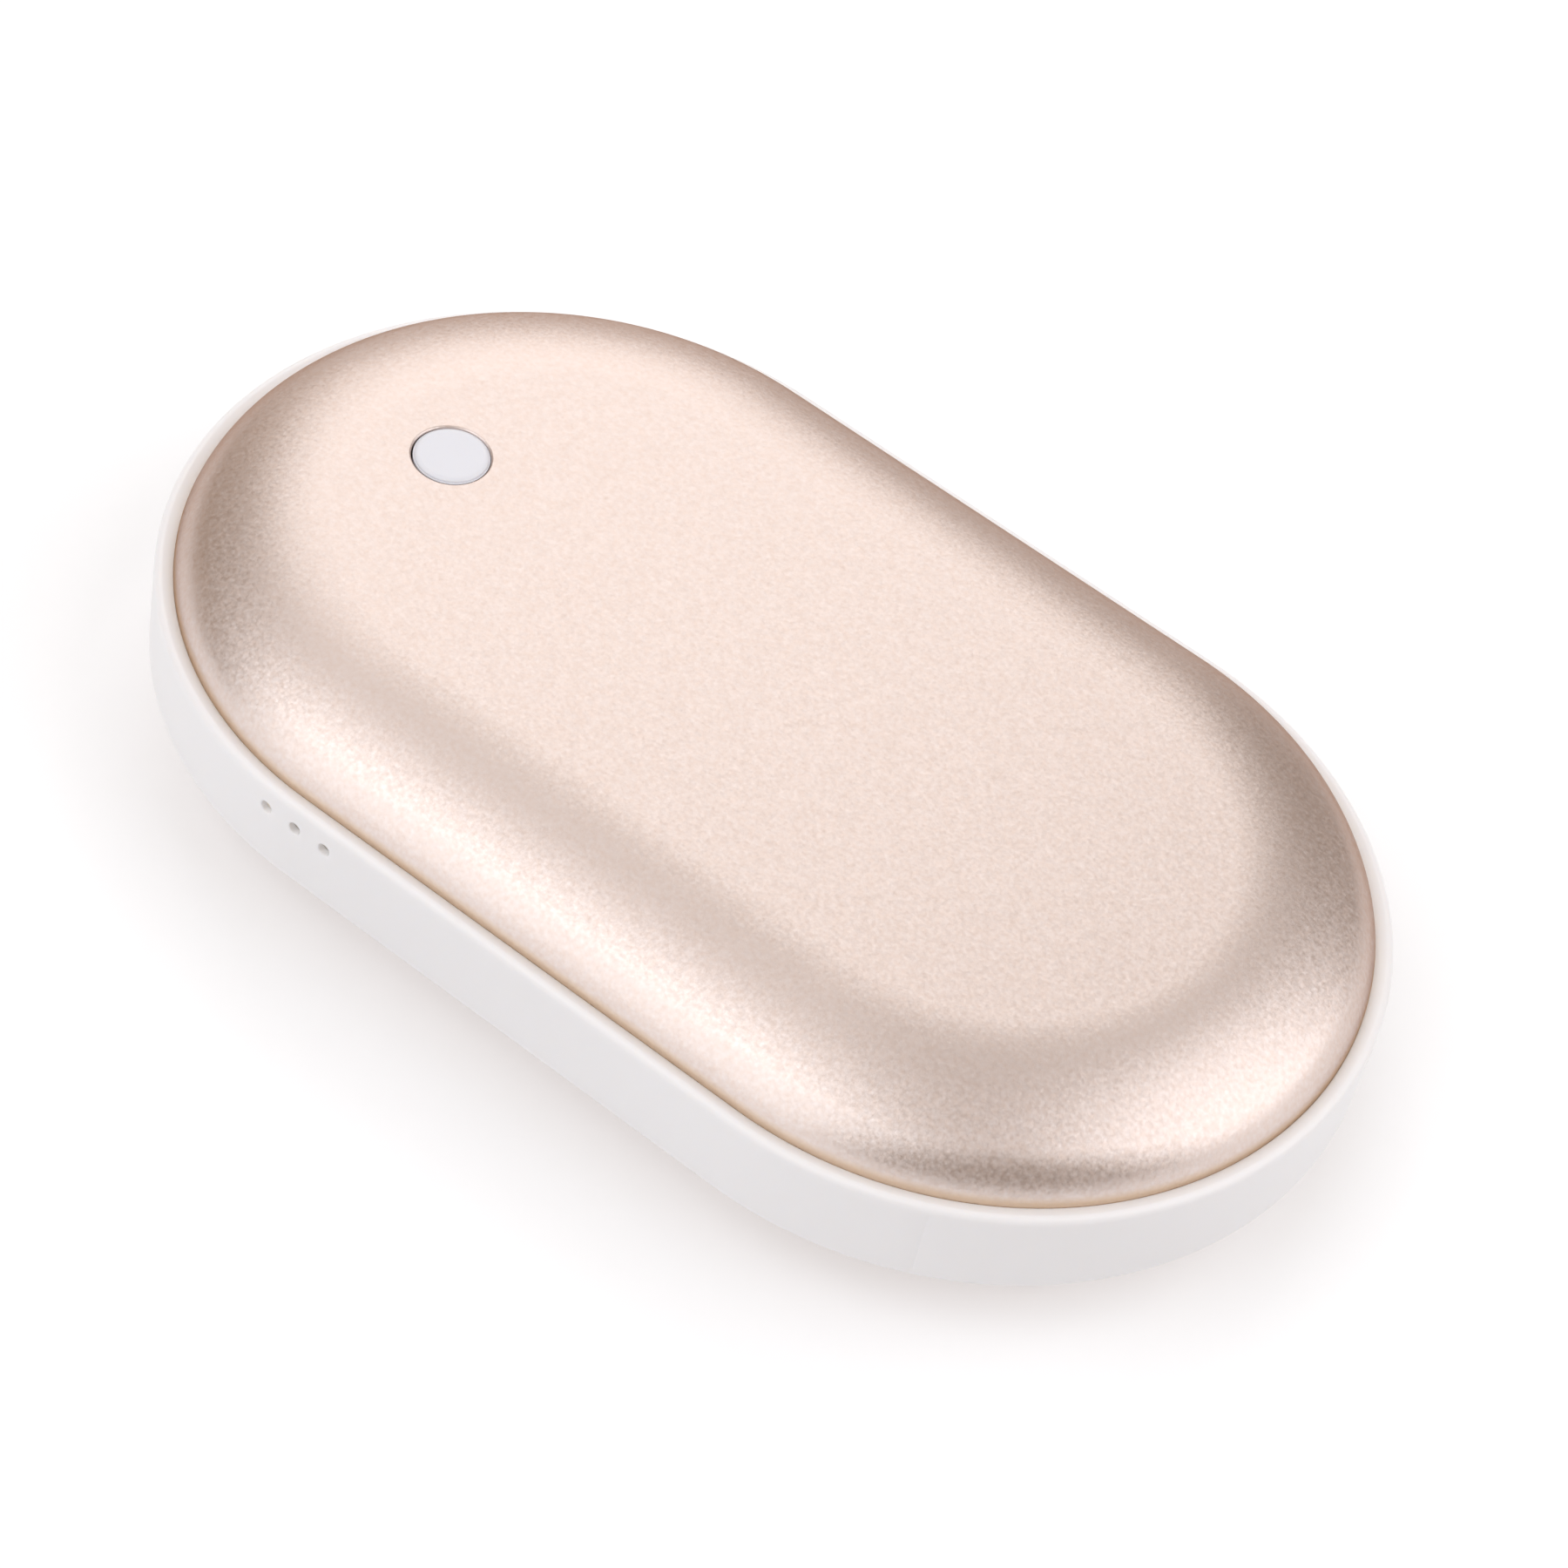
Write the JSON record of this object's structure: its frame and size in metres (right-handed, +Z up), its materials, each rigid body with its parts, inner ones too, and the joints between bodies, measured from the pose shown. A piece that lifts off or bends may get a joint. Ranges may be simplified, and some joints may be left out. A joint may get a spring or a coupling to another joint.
{
  "type": "rechargeable hand warmer",
  "caption": "Pebble-shaped pocket hand warmer with two domed metal heating shells on a plastic band, a push button, side lights, a power output socket and a charging inlet.",
  "frame": {"origin": "middle of the resting face, at the bottom of the bounding box", "axes": "+Z up through the top shell, +X along the length away from the ports and the button, the side lights face -Y"},
  "size_m": [0.105, 0.0636, 0.0199],
  "materials": {
    "band_white": "satin white injection-moulded plastic",
    "shell_champagne": "sand-blasted, champagne anodised",
    "bracket_plastic": "plain moulded plastic",
    "bonding_sheet": "thin bonding sheet",
    "heating_film": "amber polyimide film",
    "sensor_bead": "dark epoxy bead",
    "cell_foil": "laminated pouch foil",
    "board_green": "solder-masked board",
    "foam_grey": "closed-cell foam",
    "lamp_yellow": "small moulded lamps",
    "guide_clear": "frosted clear plastic",
    "button_white": "satin white plastic",
    "plastic_black": "black moulded plastic",
    "steel_plated": "plated steel sheet",
    "plunger_ivory": "ivory moulded plastic",
    "tongue_white": "white moulded plastic",
    "contact_gold": "gold-flashed contacts",
    "ferrite_grey": "pressed ferrite",
    "ceramic_tan": "fired ceramic",
    "screw_steel": "zinc-plated",
    "lead_red": "silicone insulation",
    "lead_white": "silicone insulation"
  },
  "bodies": {
    "base": {"mid_frame": "band_white", "top_shell": "shell_champagne", "bottom_shell": "shell_champagne", "top_bracket": "bracket_plastic", "bottom_bracket": "bracket_plastic", "top_adhesive": "bonding_sheet", "bottom_adhesive": "bonding_sheet", "top_heater": "heating_film", "bottom_heater": "heating_film", "heat_sensor": "sensor_bead", "battery_cell": "cell_foil", "battery_board": "board_green", "top_foam_pad": "foam_grey", "bottom_foam_pad": "foam_grey", "circuit_board": "board_green", "indicator_lights": "lamp_yellow", "light_guide": "guide_clear", "switch_body": "plastic_black", "switch_cover": "steel_plated", "usb_a_shell": "steel_plated", "usb_a_tongue": "tongue_white", "usb_a_contacts": "contact_gold", "micro_usb_shell": "steel_plated", "micro_usb_tongue": "plastic_black", "charge_chip": "plastic_black", "boost_chip": "plastic_black", "power_coil": "ferrite_grey", "board_capacitors": "ceramic_tan", "case_screws": "screw_steel", "board_screws": "screw_steel", "battery_leads": "lead_red", "top_heater_leads": "lead_white", "bottom_heater_leads": "lead_white"},
    "button": {"button_cap": "button_white"},
    "plunger": {"switch_plunger": "plunger_ivory"}
  },
  "joints": [
    {"name": "button_press", "type": "slide", "parent": "base", "child": "button", "axis": [0, 0, -1], "range_m": [0, 0.0003], "stiffness_N_per_m": 1000},
    {"name": "plunger_press", "type": "slide", "parent": "base", "child": "plunger", "axis": [0, 0, -1], "range_m": [0, 0.0003]}
  ],
  "couplings": [
    {"joint": "plunger_press", "follows": "button_press", "ratio": 1}
  ]
}
